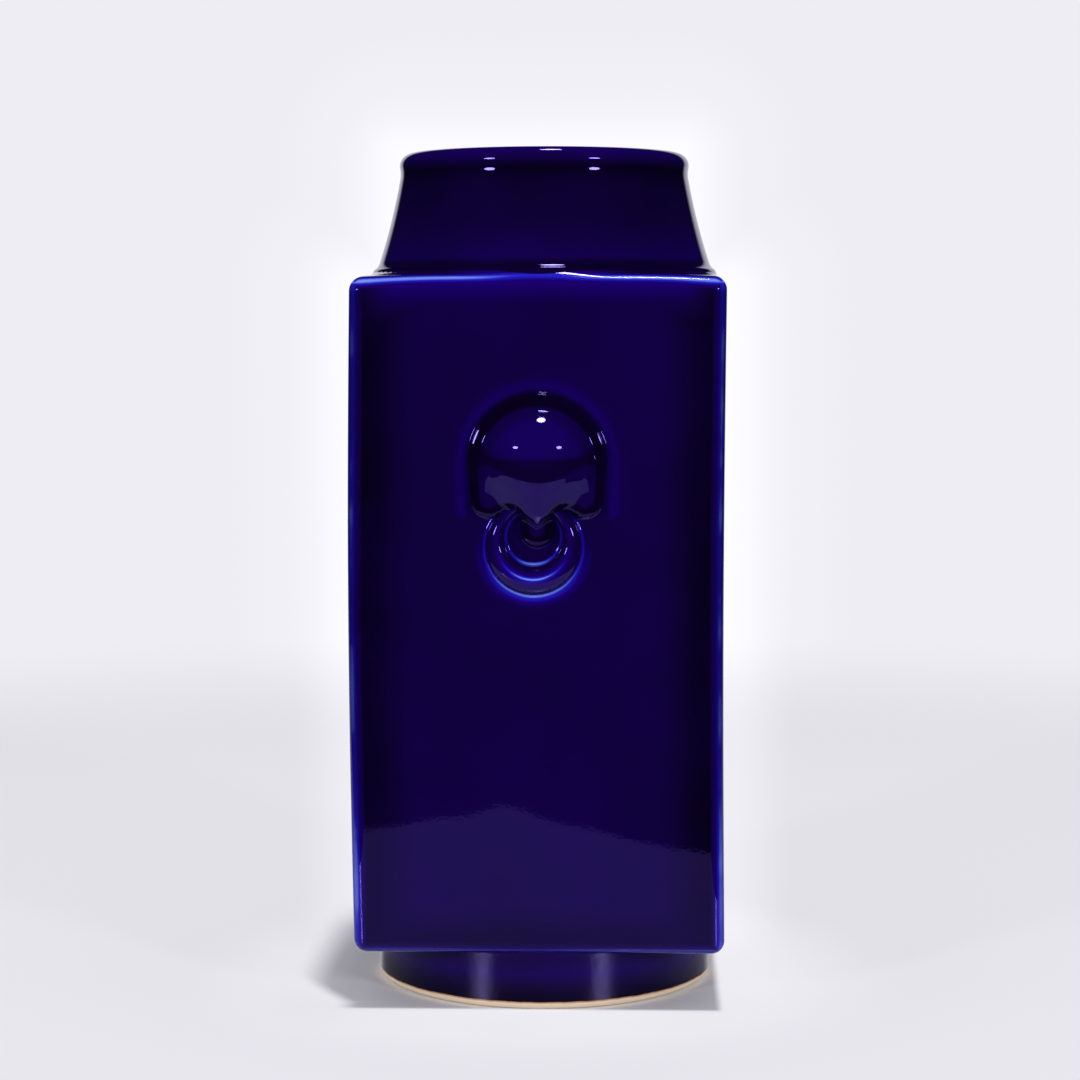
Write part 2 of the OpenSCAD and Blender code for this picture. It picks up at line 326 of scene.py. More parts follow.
def settle(point, body):
    """How far a point near the shoulder or the lower edge has risen or sunk, and the shoulder's slope."""
    radius = point.xy.length
    left = min(1, max(0, (body.skirt_reach - radius) / SKIRT))
    fall = max(0, (radius - HALF) / CORNER_RUN)
    high = near_end(point.z - SHOULDER_Z)
    low = near_end(BASE_Z - point.z)
    sunk = body.shoulder_drop * (EDGE_SUNK + fall**2)
    slope = 2 * body.shoulder_drop * fall / CORNER_RUN
    if left < 1:
        slope += 2 * body.skirt_height * left / SKIRT
    return high * (body.skirt_height * left**2 - sunk) - low * body.foot_drop, -high * slope


def rounded_block(body):
    """The body's whole outside, with rounded edges and its slight bend."""
    block = start(
        "body_block", bpy.ops.mesh.primitive_cube_add, size=1, location=(0, 0, BODY_MID),
        scale=(2 * HALF, 2 * HALF, SHOULDER_Z - BASE_Z),
    )
    edit(block, "EDGE")
    bpy.ops.mesh.bevel(offset=body.edge_radius, segments=8, profile=0.5, affect="EDGES")
    levels = 16
    for i in range(1, levels):
        z = BASE_Z + (SHOULDER_Z - BASE_Z) * i / levels
        slice_piece((0, 0, z), UP)
    # In millimetres from the middle, closer together towards the edges
    cuts = (*range(4, 36, 4), *range(36, 57, 2))
    for place in cuts:
        for side in (Vector((1, 0, 0)), Vector((0, 1, 0)), Vector((-1, 0, 0)), Vector((0, -1, 0))):
            slice_piece(side * place * MM, side)
    leave_edit()
    for vertex in block.data.vertices:
        rise = settle(vertex.co, body)[0]
        vertex.co.x += warp(vertex.co, body)[0]
        vertex.co.z += rise
    return block


def outer_normal(point, body):
    """Direction of the rounded block's surface at a point, and how deep the point lies under it."""
    inner = HALF - body.edge_radius
    core = Vector((inner, inner, BODY_MID - BASE_Z - body.edge_radius))
    push, slope = warp(point, body)
    rise, fall = settle(point, body)
    flat = Vector((point.x - push, point.y, point.z - rise - BODY_MID))
    beyond = Vector([math.copysign(max(abs(v) - c, 0), v) for v, c in zip(flat, core)])
    if beyond.length == 0:
        return None, body.edge_radius
    normal = beyond.normalized()
    normal.z -= normal.x * slope
    if fall and normal.z > 0:
        normal.xy -= point.xy.normalized() * fall * normal.z
    return normal.normalized(), body.edge_radius - beyond.length


def cut_slab(block, name, outward, planes):
    """Cut one slab from the block, with its mitres and its inner face closed."""
    slab = copy_piece(block, name)
    edit(slab, "FACE")
    for place, keep in planes:
        slice_piece(place, keep, use_fill=True, clear_inner=True)
    face_outward()
    slab.data.materials.clear()
    slab.data.materials.append(blue_glaze())
    slab.data.materials.append(clear_glaze())
    for face in slab.data.polygons:
        face.material_index = 1 if face.normal.dot(outward) < -0.99 else 0
    return slab


def smooth_outside(slab, body):
    """Run the shading over the mitred seams as over one piece of clay."""
    mesh = slab.data
    directions = [Vector((0, 0, 0))] * len(mesh.loops)
    for face in mesh.polygons:
        normal, depth = outer_normal(face.center, body)
        face.use_smooth = normal is not None and depth < 0.6 * MM and normal.dot(face.normal) > 0.9
        if face.use_smooth:
            for corner in face.loop_indices:
                point = mesh.vertices[mesh.loops[corner].vertex_index].co
                directions[corner] = outer_normal(point, body)[0] or face.normal
    mesh.normals_split_custom_set(directions)


class CONGVASE_OT_slabs(bpy.types.Operator):
    """Cut the body's four walls, floor and shoulder from one rounded block, mitred on every edge"""

    bl_idname = "cong_vase.slabs"
    bl_label = "Body Slabs"

    def execute(self, context):
        body = context.scene.cong_vase_body
        block = rounded_block(body)
        foot, head = UP * BASE_Z, UP * SHOULDER_Z
        slabs = {}
        for name, out in WALLS.items():
            side = out.cross(UP)
            planes = [
                (Vector(), out + side),
                (Vector(), out - side),
                (out * HALF + foot, out + UP),
                (out * HALF + head, out - UP),
                (out * (HALF - SLAB), out),
            ]
            slabs[name] = cut_slab(block, name, out, planes)
        ends = {"floor_slab": (foot, -UP), "shoulder_slab": (head, UP)}
        for name, (level, out) in ends.items():
            planes = [(wall * HALF + level, out - wall) for wall in WALLS.values()]
            planes.append((level - out * SLAB, out))
            slabs[name] = cut_slab(block, name, out, planes)
        self.open_shoulder(slabs["shoulder_slab"], body)
        for name, slab in slabs.items():
            smooth_outside(slab, body)
            place_in_frame(slab, name)
        bpy.data.objects.remove(block)
        return {"FINISHED"}

    def open_shoulder(self, shoulder, body):
        """Cut the round opening for the neck's spigot."""
        cutter = start(
            "opening_cutter", bpy.ops.mesh.primitive_cylinder_add, vertices=144,
            radius=body.opening_radius, depth=4 * SLAB, location=(0, 0, SHOULDER_Z),
        )
        activate(shoulder)
        opening = shoulder.modifiers.new("Opening", "BOOLEAN")
        opening.operation = "DIFFERENCE"
        opening.solver = "EXACT"
        opening.object = cutter
        bpy.ops.object.modifier_apply(modifier=opening.name)
        bpy.data.objects.remove(cutter)


# Neck and foot


def neck_section(neck):
    """Closed half section of the neck: bore, rolled lip, cone, sweep and spigot."""
    lip = (neck.lip_out - neck.lip_radius, TOP_Z - neck.lip_radius)
    throat_z = lip[1] - 3 * MM
    base_z = SHOULDER_Z + 4.3 * MM
    drop = throat_z - base_z
    steep, under_lip, toe_angle = 0.175, 1.6 * MM, 36
    bend = (neck.cone_base - neck.throat - steep * drop) / drop**2

    def cone(d):
        return (neck.throat + steep * d + bend * d * d, throat_z - d)

    bore_base = (neck.cone_base - neck.wall, SHOULDER_Z)
    bore_top = (neck.throat - neck.wall, throat_z)
    section = [(bore_base[0], SPIGOT_Z), bore_base]
    section += [
        tuple(a + (b - a) * i / 12 for a, b in zip(bore_base, bore_top)) for i in range(1, 12)
    ]
    section += arc(lip, neck.lip_radius, 195, -12, 28)
    lip_end, cone_start = section[-1], cone(under_lip)
    section += curve(lip_end, (neck.throat - 0.07 * MM, throat_z + 0.35 * MM), cone_start, 10)
    section += [cone(under_lip + (drop - under_lip) * i / 18) for i in range(19)]
    cone_end = section[-1]
    tilt = math.degrees(math.atan2(drop, (steep + 2 * bend * drop) * drop))
    bend_r = neck.sweep
    middle = (
        cone_end[0] + bend_r * math.sin(math.radians(tilt)),
        cone_end[1] + bend_r * math.cos(math.radians(tilt)),
    )
    section += arc(middle, bend_r, 270 - tilt, 270 - toe_angle, 12)[1:]
    run_r, run_z = section[-1]
    toe_r = HALF - 2.6 * MM
    toe = (toe_r, run_z - math.tan(math.radians(toe_angle)) * (toe_r - run_r))
    toe_end = (toe_r + 1.1 * MM, toe[1] - 3.6 * MM)
    section += [toe] + curve(toe, (toe_r + 0.9 * MM, toe[1] - 0.65 * MM), toe_end, 8)
    section += [toe_end, (neck.spigot, toe_end[1])]
    section += [(neck.spigot, SPIGOT_Z), section[0]]
    return section


class CONGVASE_OT_neck(bpy.types.Operator):
    """Turn the neck with its rolled lip, cone and sweep on to the shoulder"""

    bl_idname = "cong_vase.neck"
    bl_label = "Neck"

    def execute(self, context):
        neck = context.scene.cong_vase_neck
        piece = turned_piece("neck", neck_section(neck))
        piece.data.transform(Matrix.Translation((neck.shift, 0, 0)))
        piece.data.materials.append(neck_glaze())
        piece.data.materials.append(clear_glaze())
        lip = neck.lip_out - neck.lip_radius
        for face in piece.data.polygons:
            from_axis = face.center.xy - Vector((neck.shift, 0))
            radius, looks_in = from_axis.length, face.normal.xy.dot(from_axis) < 0
            in_bore = radius < lip - 0.72 * neck.lip_radius or radius > lip
            face.material_index = int(looks_in and in_bore)
        place_in_frame(piece, "neck")
        return {"FINISHED"}


class CONGVASE_OT_foot(bpy.types.Operator):
    """Turn the foot ring with its rounded resting edge"""

    bl_idname = "cong_vase.foot"
    bl_label = "Foot Ring"

    def execute(self, context):
        neck = context.scene.cong_vase_neck
        inner = FOOT_R - neck.foot_wall
        small = neck.foot_edge / 2
        edge = (FOOT_R - neck.foot_edge, neck.foot_edge)
        section = [(inner, BASE_Z)]
        section += [(inner, BASE_Z + (small - BASE_Z) * i / 8) for i in range(1, 8)]
        section += arc((inner + small, small), small, 180, 270, 8)
        section += arc(edge, neck.foot_edge, 270, 360, 14)
        upright = BASE_Z - 2 * MM - neck.foot_edge
        section += [(FOOT_R, neck.foot_edge + upright * i / 10) for i in range(1, 11)]
        flare, overlap = 0.9 * MM, 0.1 * MM
        section += curve(section[-1], (FOOT_R, BASE_Z - 0.4 * MM), (FOOT_R + flare, BASE_Z), 5)
        section += [(FOOT_R + flare, BASE_Z + overlap), (inner, BASE_Z + overlap), section[0]]
        piece = turned_piece("foot_ring", section)
        piece.data.materials.append(foot_glaze())
        place_in_frame(piece, "foot_ring")
        return {"FINISHED"}


# Masks and rings


def mask_outline(relief):
    """The mask's outline, across and up from the centre of its arch."""
    half, drop = MASK_HALF, relief.jaw_drop
    corner = (half - relief.jaw_radius, relief.jaw_radius - drop)
    notch = (relief.notch_out, relief.notch_in - drop - relief.notch_radius)
    opens = math.degrees(math.asin((relief.notch_radius - relief.notch_in) / relief.notch_radius))
    trunk_half = relief.notch_out - relief.notch_radius
    trunk = (0, trunk_half - relief.trunk_drop)
    right = arc((0, 0), half, 90, 0, 44)
    right += [(half, corner[1] * i / 8) for i in range(1, 8)]
    right += arc(corner, relief.jaw_radius, 0, -90, 14)
    right = [(u * (1 + relief.taper * min(0, v) / drop), v) for u, v in right]
    right += [((right[-1][0] + notch[0] + relief.notch_radius) / 2, -drop)]
    right += arc(notch, relief.notch_radius, opens, 180, 18)
    right += [(trunk_half, notch[1] + (trunk[1] - notch[1]) * i / 3) for i in range(1, 3)]
    right += arc(trunk, trunk_half, 0, -90, 14)
    left = [(-u, v) for u, v in right[-2:0:-1]]
    return np.array(right + left)


def face_outline(relief):
    """Outline of the dome and of the flat lower face, which ends in a point over the trunk."""
    wide, low = relief.face_half, -relief.face_drop
    cheek, jaw = (wide, low + 3.4 * MM), (wide - 4.1 * MM, low)
    wing, tip = (5.6 * MM, (low - relief.point_drop) / 2), -relief.point_drop
    right = arc((0, 0), MASK_HALF - relief.rim_width + 0.25 * MM, 90, 0, 30)
    right += [cheek, *curve(cheek, (wide - 0.4 * MM, low), jaw, 8), jaw]
    right += [*curve(jaw, (8.2 * MM, low - 0.3 * MM), wing, 8), wing]
    right += [(1.6 * MM, tip + 0.7 * MM), (0.7 * MM, tip + 0.15 * MM), (0, tip)]
    left = [(-u, v) for u, v in right[-2:0:-1]]
    return np.array(right + left)


def path_distance(points, path):
    """Distance from each point to a path."""
    first, along = path[:-1], path[1:] - path[:-1]
    gap = points[:, None, :] - first[None, :, :]
    share = np.clip((gap * along).sum(2) / (along**2).sum(1), 0, 1)
    return np.linalg.norm(gap - share[..., None] * along, axis=2).min(1)


def depth_inside(points, outline):
    """Distance from each point to a closed outline, less than nought outside it."""
    first, last = outline, np.roll(outline, -1, axis=0)
    up = points[:, 1:2]
    crossed = (first[:, 1] > up) != (last[:, 1] > up)
    rise = np.where(first[:, 1] == last[:, 1], 1, last[:, 1] - first[:, 1])
    at = first[:, 0] + (up - first[:, 1]) * (last[:, 0] - first[:, 0]) / rise
    within = (crossed & (points[:, :1] < at)).sum(1) % 2
    return path_distance(points, np.vstack([outline, outline[:1]])) * (2 * within - 1)


def soft_step(low, high, value):
    """Rise from nought to one between two values."""
    share = np.clip((value - low) / (high - low), 0, 1)
    return share * share * (3 - 2 * share)


def soft_above(value, blend):
    """The part of a value above nought, with a rounded start."""
    return (value + np.sqrt(value**2 + blend**2)) / 2


def mask_height(points, outline, plate, relief):
    """Height of the mask over the wall, and how thin the glaze lies on it, which also holds painted shade
    and painted light.

    A steep edge and a soft bevel lead up to the ledge. The dome rises from the ledge, and under its brow
    lies the flat face, which slopes down to the jaw and to a point over the trunk.
    """
    brow_low, brow_rise, brow_half, brow_blend = -6.3 * MM, 6 * MM, 15 * MM, 1.2 * MM
    wrinkle_gap, wrinkle_half, step_slope = 5.6 * MM, 16 * MM, 1.8
    blend, face_blend, trunk_low = 0.35 * MM, 0.6 * MM, 0.7 * MM
    u, v = points.T
    side = np.abs(u)
    ledge, fall = relief.ledge_height, CROWN_H - relief.ledge_height
    rise = np.maximum(0, v - relief.crown_up) / relief.dome_up
    flat = 0.5 * soft_step(4 * MM, -6 * MM, v)
    across = (u / (MASK_HALF - relief.rim_width)) ** 2
    brow = brow_low + brow_rise * np.minimum(1, side / brow_half) ** 1.5
    face = CROWN_H - fall * (rise**2 + across - flat * across**2)
    face -= relief.face_slope * soft_above(brow - v, brow_blend)
    wrinkle = np.sin((v - 0.35 * side**1.5 / math.sqrt(MASK_HALF)) * 2 * math.pi / wrinkle_gap)
    wrinkle = relief.wrinkle * wrinkle * soft_step(0, -3 * MM, v - brow)
    face += wrinkle * soft_step(wrinkle_half, 11 * MM, side)

    depth = depth_inside(points, plate)
    step = ledge + step_slope * soft_above(depth, blend)
    face = step - soft_above(step - face, face_blend)

    inside = path_distance(points, np.vstack([outline, outline[:1]]))
    steep = np.clip(inside / relief.edge, 0, 1)
    past = np.clip(inside - relief.bevel, 0, relief.bevel)
    bevel = relief.bevel_slope * (np.minimum(inside, relief.bevel) + past - past**2 / (2 * relief.bevel))
    trunk = soft_step(-17 * MM, -20 * MM, v) * soft_step(9 * MM, 7 * MM, side)
    cliff = ledge - relief.fillet - 1.5 * relief.bevel_slope * relief.bevel - trunk_low * trunk
    height = relief.fillet + cliff * np.sqrt(1 - (1 - steep) ** 2) + bevel
    height += soft_above(face - ledge, blend)

    # Painted shade: a band inside the rim, wider at the top, is darkened, as pooled glaze and as shade where
    # the rim faces dark surroundings.
    pooled_and_shaded = 3.2 * MM + 1.2 * MM * soft_step(0, 15 * MM, v)
    thin = 0.17 - 0.16 * soft_step(0.7 * MM, -0.7 * MM, inside - pooled_and_shaded)
    # Painted light: the upper dome, which faces the light from above, is painted lighter.
    thin += 0.12 * soft_step(2 * MM, 6 * MM, depth) * soft_step(0.5 * MM, 3 * MM, v)
    # Painted shade: a band under the dome's brow, where the face turns down towards dark surroundings, is
    # darkened.
    brow_shade_line = v - 1.8 * MM * (side / (12 * MM)) ** 2
    thin -= 0.12 * soft_step(2.2 * MM, -1.4 * MM, brow_shade_line) * soft_step(brow - 1.5 * MM, brow + 0.5 * MM, v)
    return height, np.maximum(thin, 0.01)


def outward_steps(outline):
    """Direction out of the outline at each of its points."""
    along = np.roll(outline, -1, axis=0) - np.roll(outline, 1, axis=0)
    out = np.stack([-along[:, 1], along[:, 0]], axis=1)
    return out / np.linalg.norm(out, axis=1)[:, None]


def on_wall(points, heights):
    """Points of a relief, across, up and over the wall, as places on the front wall."""
    return [Vector((u, -HALF - h, ARCH_Z + v)) for (u, v), h in zip(points, heights)]


def mark_thin(piece, values):
    """Keep on each vertex how thin the glaze lies there."""
    thin = piece.data.attributes.new("thin", "FLOAT", "POINT")
    thin.data.foreach_set("value", values)


def mask_rings(relief):
    """Loops of places from the foot of the fillet up to near the crown, with the glaze's thinness."""
    outline, plate = mask_outline(relief), face_outline(relief)
    out = outward_steps(outline)
    crown = np.array([0, relief.crown_up])
    flat = np.ones(len(outline))
    loops = [(on_wall(outline + out * relief.fillet * 1.05, flat * -0.5 * MM), flat * 0.2)]
    for share in (1.0, 0.75, 0.5, 0.3, 0.12):
        height = relief.fillet * (1 - math.sqrt(1 - (1 - share) ** 2))
        places = on_wall(outline + out * relief.fillet * share, flat * height)
        loops.append((places, flat * (0.06 + 0.16 * share)))
    shares = [0.0, 0.003, 0.006, 0.01, 0.015, 0.021, 0.03, 0.042, 0.056, 0.072]
    shares += [0.09, 0.11, 0.13, 0.15, 0.17, 0.19]
    shares += [0.2 + 0.78 * i / 64 for i in range(65)]
    for share in shares:
        points = outline + (crown - outline) * share
        heights, thin = mask_height(points, outline, plate, relief)
        if share == 0:
            heights[:] = relief.fillet
        loops.append((on_wall(points, heights), thin))
    return loops, on_wall([crown], [CROWN_H])[0]


def loft(name, loops, tip):
    """Extrude a ring of vertices from loop to loop, close it at the tip and at the back."""
    count = len(loops[0][0])
    piece = start(name, bpy.ops.mesh.primitive_circle_add, vertices=count, radius=MASK_HALF)
    spoke = piece.data.attributes.new("spoke", "INT", "POINT")
    spoke.data.foreach_set("value", range(count))
    piece.data.attributes.new("thin", "FLOAT", "POINT")
    edit(piece)
    for i, (places, thinness) in enumerate(loops):
        if i:
            bpy.ops.mesh.extrude_region_move()
        shell = bmesh.from_edit_mesh(piece.data)
        spokes, thins = shell.verts.layers.int["spoke"], shell.verts.layers.float["thin"]
        for vertex in shell.verts:
            if vertex.select:
                vertex.co = places[vertex[spokes]]
                vertex[thins] = thinness[vertex[spokes]]
        bmesh.update_edit_mesh(piece.data)
    bpy.ops.mesh.merge(type="CENTER")
    shell = bmesh.from_edit_mesh(piece.data)
    for vertex in shell.verts:
        if vertex.select:
            vertex.co = tip
    bmesh.update_edit_mesh(piece.data)
    bpy.ops.mesh.select_all(action="DESELECT")
    bpy.ops.mesh.select_non_manifold(extend=False)
    bpy.ops.mesh.edge_face_add()
    face_outward()
    piece.data.attributes.remove(piece.data.attributes["spoke"])
    bpy.ops.object.shade_smooth_by_angle(angle=math.radians(60))
    return piece


class CONGVASE_OT_masks(bpy.types.Operator):
    """Model the mask once, and set it on the front and on the back wall"""

    bl_idname = "cong_vase.masks"
    bl_label = "Masks"

    def execute(self, context):
        loops, crown = mask_rings(context.scene.cong_vase_relief)
        front = loft("front_mask", loops, crown)
        front.data.materials.append(relief_glaze())
        back = copy_piece(front, "back_mask", math.pi)
        place_in_frame(front, "front_mask")
        place_in_frame(back, "back_mask")
        return {"FINISHED"}


def ring_section(width, height, fillet, low):
    """Section of the ring from its outer foot to its inner foot, then back under the wall."""
    crest, steps, under = 0.58 * width, 12, -0.8 * MM
    flare = [(1.0, 0.5 + 0.3 * low), (0.6, 0.62 + 0.3 * low)]
    flare += [(0.3, 0.66 + 0.3 * low), (0.1, 0.55 + 0.25 * low)]
    lift = [fillet * (1 - math.sqrt(1 - (1 - share) ** 2)) for share, _ in flare]

    def flank(i, least, power, foot):
        """How far in, how high and how thinly glazed one step from a foot to the crest is."""
        angle = math.radians(90 * i / steps)
        up = fillet + (height - fillet) * math.sin(angle)
        thin = least + (0.25 + 0.65 * low) * (i / steps) ** power + (foot + 0.2 * low) * (1 - i / steps) ** 4
        return 1 - math.cos(angle), up, thin

    section = [(-share * fillet, up, thin) for (share, thin), up in zip(flare, lift)]
    for i in range(steps + 1):
        share, up, thin = flank(i, 0.12, 5, 0.3)
        section.append((crest * share, up, thin))
    for i in range(steps - 1, -1, -1):
        share, up, thin = flank(i, 0.1, 4, 0.35)
        section.append((width - (width - crest) * share, up, thin))
    section += [(width + share * fillet, up, thin) for (share, thin), up in zip(flare[::-1], lift[::-1])]
    return section + [(place, under, 0.5) for place in (width, width / 2, 0)]


class CONGVASE_OT_rings(bpy.types.Operator):
    """Model the crescent ring once, and set it under both masks"""

    bl_idname = "cong_vase.rings"
    bl_label = "Rings"

    def execute(self, context):
        relief = context.scene.cong_vase_relief
        across, around = 160, len(ring_section(1, 1, 0.1, 0))
        front = start(
            "front_ring", bpy.ops.mesh.primitive_torus_add, major_segments=across,
            minor_segments=around, major_radius=relief.ring_radius, minor_radius=RING_H / 2,
        )
        self.shape(front, relief, around)
        front.data.materials.append(relief_glaze())
        bpy.ops.object.shade_smooth_by_angle(angle=math.radians(60))
        back = copy_piece(front, "back_ring", math.pi)
        place_in_frame(front, "front_ring")
        place_in_frame(back, "back_ring")
        return {"FINISHED"}

    def shape(self, ring, relief, around):
        """Move the vertices of the round tube on to the crescent's section."""
        middle_v = RING_LOW.z + relief.ring_radius - ARCH_Z
        thin = [0.0] * len(ring.data.vertices)
        for vertex in ring.data.vertices:
            angle = math.atan2(vertex.co.y, vertex.co.x)
            tube = math.atan2(vertex.co.z, math.hypot(vertex.co.x, vertex.co.y) - relief.ring_radius)
            step = round(tube / (2 * math.pi) * around) % around
            sine, cosine = math.sin(angle), math.cos(angle)
            reach = math.sqrt(relief.hole_radius**2 - (relief.hole_up * cosine) ** 2)
            width = relief.ring_radius - (relief.hole_up * sine + reach)
            height = RING_H * (0.86 - 0.14 * sine)
            low = max(0, -sine)
            out, lift, thin[vertex.index] = ring_section(width, height, relief.fillet, low)[step]
            radius = relief.ring_radius - out
            u, v = radius * cosine - relief.ring_shift, middle_v + radius * sine
            vertex.co = on_wall([(u, v)], [lift])[0]
        mark_thin(ring, thin)
        edit(ring)
        face_outward()


class CONGVASE_OT_coils(bpy.types.Operator):
    """Glaze the clay coils that are pressed into the seams inside"""

    bl_idname = "cong_vase.coils"
    bl_label = "Seam Coils"

    def execute(self, context):
        glaze = clear_glaze()
        for name in COILS:
            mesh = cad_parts[name].data
            mesh.materials.clear()
            mesh.materials.append(glaze)
        return {"FINISHED"}


# Glazes


def add_node(tree, kind, inputs=(), **settings):
    """Add a shader node with its settings, input values and links."""
    made = tree.nodes.new(kind)
    for name, value in settings.items():
        setattr(made, name, value)
    for key, value in dict(inputs).items():
        if isinstance(value, bpy.types.NodeSocket):
            tree.links.new(value, made.inputs[key])
        else:
            made.inputs[key].default_value = value
    return made


def math_node(tree, operation, *values, clamp=False):
    """The result of a sum on sockets and numbers."""
    made = add_node(tree, "ShaderNodeMath", enumerate(values), operation=operation, use_clamp=clamp)
    return made.outputs[0]


def chain(operation):
    """A function that takes sockets and numbers through one sum, from the first to the last."""

    def give(tree, result, *others):
        for other in others:
            result = math_node(tree, operation, result, other)
        return result

    return give


plus, minus, times, over = (chain(kind) for kind in ("ADD", "SUBTRACT", "MULTIPLY", "DIVIDE"))
larger, smaller = chain("MAXIMUM"), chain("MINIMUM")


def unsigned(tree, value):
    return math_node(tree, "ABSOLUTE", value)


def axes_of(tree, place):
    """The X, Y and Z of a place."""
    return add_node(tree, "ShaderNodeSeparateXYZ", {0: place}).outputs


def distance_node(tree, across, up):
    """Distance from the middle, by the two sides of a right angle."""
    squares = times(tree, across, across)
    return math_node(tree, "SQRT", math_node(tree, "MULTIPLY_ADD", up, up, squares))


def ramp_node(tree, share, stops):
    """A colour ramp with stops of place and colour."""
    made = add_node(tree, "ShaderNodeValToRGB", {"Fac": share})
    elements = made.color_ramp.elements
    while len(elements) < len(stops):
        elements.new(1)
    for element, (place, tone) in zip(elements, stops):
        element.position = place
        element.color = (*tone, 1) if isinstance(tone, tuple) else (tone, tone, tone, 1)
    return made.outputs["Color"]


def mix_node(tree, share, first, second):
    """A mix of two colours."""
    return add_node(tree, "ShaderNodeMix", {0: share, 6: first, 7: second}, data_type="RGBA").outputs[2]


def mix_shader(tree, share, first, second):
    return add_node(tree, "ShaderNodeMixShader", {0: share, 1: first, 2: second}).outputs[0]


def stretch(tree, value, low, high, to_low=0.0, to_high=1.0):
    """A value moved from one range to another, eased at both ends."""
    made = add_node(
        tree, "ShaderNodeMapRange",
        {"Value": value, "From Min": low, "From Max": high, "To Min": to_low, "To Max": to_high},
        interpolation_type="SMOOTHSTEP",
    )
    return made.outputs["Result"]


def noise_node(tree, place, scale, detail):
    made = add_node(tree, "ShaderNodeTexNoise", {"Vector": place, "Scale": scale, "Detail": detail})
    return made.outputs[0]


def new_group(name, inputs, outputs):
    """A shader node group with its sockets; gives the tree, its input node and its output node."""
    tree = bpy.data.node_groups.new(name, "ShaderNodeTree")
    for label, kind in inputs:
        tree.interface.new_socket(label, in_out="INPUT", socket_type=kind)
    for label, kind in outputs:
        tree.interface.new_socket(label, in_out="OUTPUT", socket_type=kind)
    return tree, tree.nodes.new("NodeGroupInput"), tree.nodes.new("NodeGroupOutput")


def use_group(tree, group, inputs):
    return add_node(tree, "ShaderNodeGroup", inputs, node_tree=group)


def built_once(maker):
    """Make a group or a material the first time, and give the same one after that."""
    kept = {}

    def give():
        if "made" not in kept:
            kept["made"] = maker()
        return kept["made"]

    return give


@built_once
def cobalt_group():
    """Blue glaze: its colour by how thin it lies, its gloss, and the lie of its surface."""
    glaze = bpy.context.scene.cong_vase_glaze
    tree, given, result = new_group(
        "Cobalt Glaze",
        [("Thinness", "NodeSocketFloat"), ("Position", "NodeSocketVector")],
        [("Color", "NodeSocketColor"), ("Roughness", "NodeSocketFloat"), ("Height", "NodeSocketFloat")],
    )
    place = given.outputs["Position"]
    cloud = noise_node(tree, place, 24, detail=4)
    drift = stretch(tree, cloud, 0.25, 0.75, -0.03, 0.03)
    thin = math_node(tree, "ADD", given.outputs["Thinness"], drift, clamp=True)
    tones = [tuple(c) for c in (glaze.pooled_and_shaded, glaze.cobalt, glaze.drawn, glaze.bright, glaze.thin)]
    tone = ramp_node(tree, thin, list(zip((0.0, 0.16, 0.55, 0.8, 1.0), tones)))
    peel = noise_node(tree, place, 900, detail=1)
    wave = noise_node(tree, place, 26, detail=1)
    rough = stretch(tree, cloud, 0.3, 0.7, 0.015, 0.035)
    fine = times(tree, peel, 0.02)
    height = plus(tree, wave, fine)
    tree.links.new(tone, result.inputs["Color"])
    tree.links.new(rough, result.inputs["Roughness"])
    tree.links.new(height, result.inputs["Height"])
    return tree


